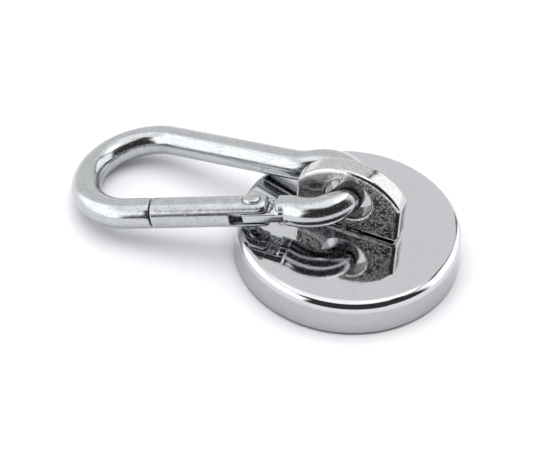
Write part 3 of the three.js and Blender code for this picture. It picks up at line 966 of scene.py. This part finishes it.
PIECES = [
    (make_cup_shell, "cup_shell", "cup", "chrome", cup_chrome),
    (make_ring_magnet, "ring_magnet", "cup", "nickel", magnet_nickel),
    (make_magnet_resin, "magnet_resin", "cup", "resin", resin),
    (make_centre_plug, "centre_plug", "cup", "resin", resin),
    (make_swivel_washer, "swivel_washer", "cup", "steel", washer_steel),
    (make_eye_lug, "eye_lug", "eye", "chrome", eye_chrome),
    (make_hook_body, "hook_body", "hook", "zinc", hook_zinc),
    (make_gate_sleeve, "gate_sleeve", "gate", "zinc", gate_zinc),
    (make_gate_rivet, "gate_rivet", "gate", "zinc", rivet_steel),
    (make_gate_plunger, "gate_plunger", "plunger", "steel", washer_steel),
    (make_gate_spring, "gate_spring", ("plunger", "gate"), "steel", spring_steel),
]


for make, node, body, slot, material in PIECES:
    piece = make()
    piece.data.materials.clear()
    piece.data.materials.append(material)
    if isinstance(body, tuple):
        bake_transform(piece)
    else:
        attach(piece, body)
    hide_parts(node)

# ---- floor and light ----
# Panels are (lowest and highest compass angle, lowest and highest rise) in degrees. The compass angle is
# from straight away from the camera and positive to its right, but the room's is from behind it.

BACKDROP = 0.93
LIGHTS = [  # each with the softness of its edge and how much it adds
    (-400, 400, 62, 120, 10, 0.55),  # ceiling
    (-143, -62, -10, 46, 5, 1.0),  # left soft box
    (-150, -58, 46, 70, 5, 0.3),  # spill above it
    (44, 102, -10, 49, 2, 0.7),  # right soft box
    (50, 122, 60, 82, 3, 1.2),  # lamp above it
]
FRAMES = [(36, 42, -10, 52), (36, 68, 49, 54)]  # the right soft box's dark side and top
ROOM = [(-74, 36, -90, 64), (-76, 51, 39, 64)]  # the unlit room, and the wider dark under its ceiling
FRAME_SOFTNESS, FRAME_SHADE = 1.5, 0.8
ROOM_SOFTNESS = 4
ROOM_COLOUR = (0.050, 0.045, 0.046, 1)


def make_floor():
    mesh = bpy.data.meshes.new("floor")
    reach = 3.0
    corners = [(-reach, -reach, 0), (reach, -reach, 0), (reach, reach, 0), (-reach, reach, 0)]
    mesh.from_pydata(corners, [], [(0, 1, 2, 3)])
    floor = bpy.data.objects.new("floor", mesh)
    bpy.context.scene.collection.objects.link(floor)
    material = bpy.data.materials.new("floor_paper")
    material.use_nodes = True
    shader = material.node_tree.nodes["Principled BSDF"]
    shader.inputs["Base Color"].default_value = (0.86, 0.865, 0.885, 1)
    shader.inputs["Roughness"].default_value = 0.9
    shader.inputs["Specular IOR Level"].default_value = 0.1
    mesh.materials.append(material)


def make_world():
    """White surroundings, a soft box on each side, a brighter ceiling and a dark room behind the camera."""
    world = bpy.data.worlds.new("studio")
    bpy.context.scene.world = world
    world.use_nodes = True
    tree = world.node_tree
    tree.nodes.clear()
    spots = add_node(tree, "ShaderNodeTexCoord")
    turned_in = add_node(tree, "ShaderNodeMapping",
                         {"Vector": spots.outputs["Generated"], "Rotation": (0, 0, -VIEW_AZIMUTH)})
    parts = add_node(tree, "ShaderNodeSeparateXYZ", {0: turned_in.outputs["Vector"]})
    across, away = parts.outputs["X"], parts.outputs["Y"]

    def in_degrees(operation, *inputs):
        return math_node(tree, "MULTIPLY", math_node(tree, operation, *inputs), 180 / math.pi)

    def opposite(value):
        return math_node(tree, "MULTIPLY", value, -1.0)

    ahead = in_degrees("ARCTAN2", across, away)
    behind = in_degrees("ARCTAN2", opposite(across), opposite(away))
    rise = in_degrees("ARCSINE", parts.outputs["Z"])

    def window(value, low, high, soft):
        """1 where value is between low and high, and 0 outside."""
        up = remap(tree, value, low - soft, low + soft, interpolation_type="SMOOTHSTEP")
        down = remap(tree, value, high + soft, high - soft, interpolation_type="SMOOTHSTEP")
        return math_node(tree, "MULTIPLY", up, down)

    def panel(spans, soft, compass=ahead):
        side_low, side_high, rise_low, rise_high = spans
        return math_node(tree, "MULTIPLY", window(compass, side_low, side_high, soft),
                         window(rise, rise_low, rise_high, soft))

    light = BACKDROP
    for *spans, soft, gain in LIGHTS:
        light = math_node(tree, "ADD", light, math_node(tree, "MULTIPLY", panel(spans, soft), gain))
    for spans in FRAMES:
        shade = math_node(tree, "MULTIPLY", panel(spans, FRAME_SOFTNESS), FRAME_SHADE)
        light = math_node(tree, "MULTIPLY", light, math_node(tree, "SUBTRACT", 1.0, shade))
    room = 0.0
    for spans in ROOM:
        room = math_node(tree, "MAXIMUM", room, panel(spans, ROOM_SOFTNESS, behind))
    total = mix_colours(tree, room, light, ROOM_COLOUR)
    background = add_node(tree, "ShaderNodeBackground", {"Color": total, "Strength": 1.0})
    output = add_node(tree, "ShaderNodeOutputWorld")
    tree.links.new(background.outputs[0], output.inputs["Surface"])


def make_overhead():
    """A wide diffuse light that whitens the floor without showing in the chrome."""
    data = bpy.data.lights.new("overhead", "AREA")
    data.size = 1.1
    data.energy = 4.4
    overhead = bpy.data.objects.new("overhead", data)
    overhead.location = (0.08, 0.2, 0.9)
    overhead.visible_glossy = False
    bpy.context.scene.collection.objects.link(overhead)


make_floor()
make_world()
make_overhead()
bpy.context.scene.view_settings.view_transform = "Standard"
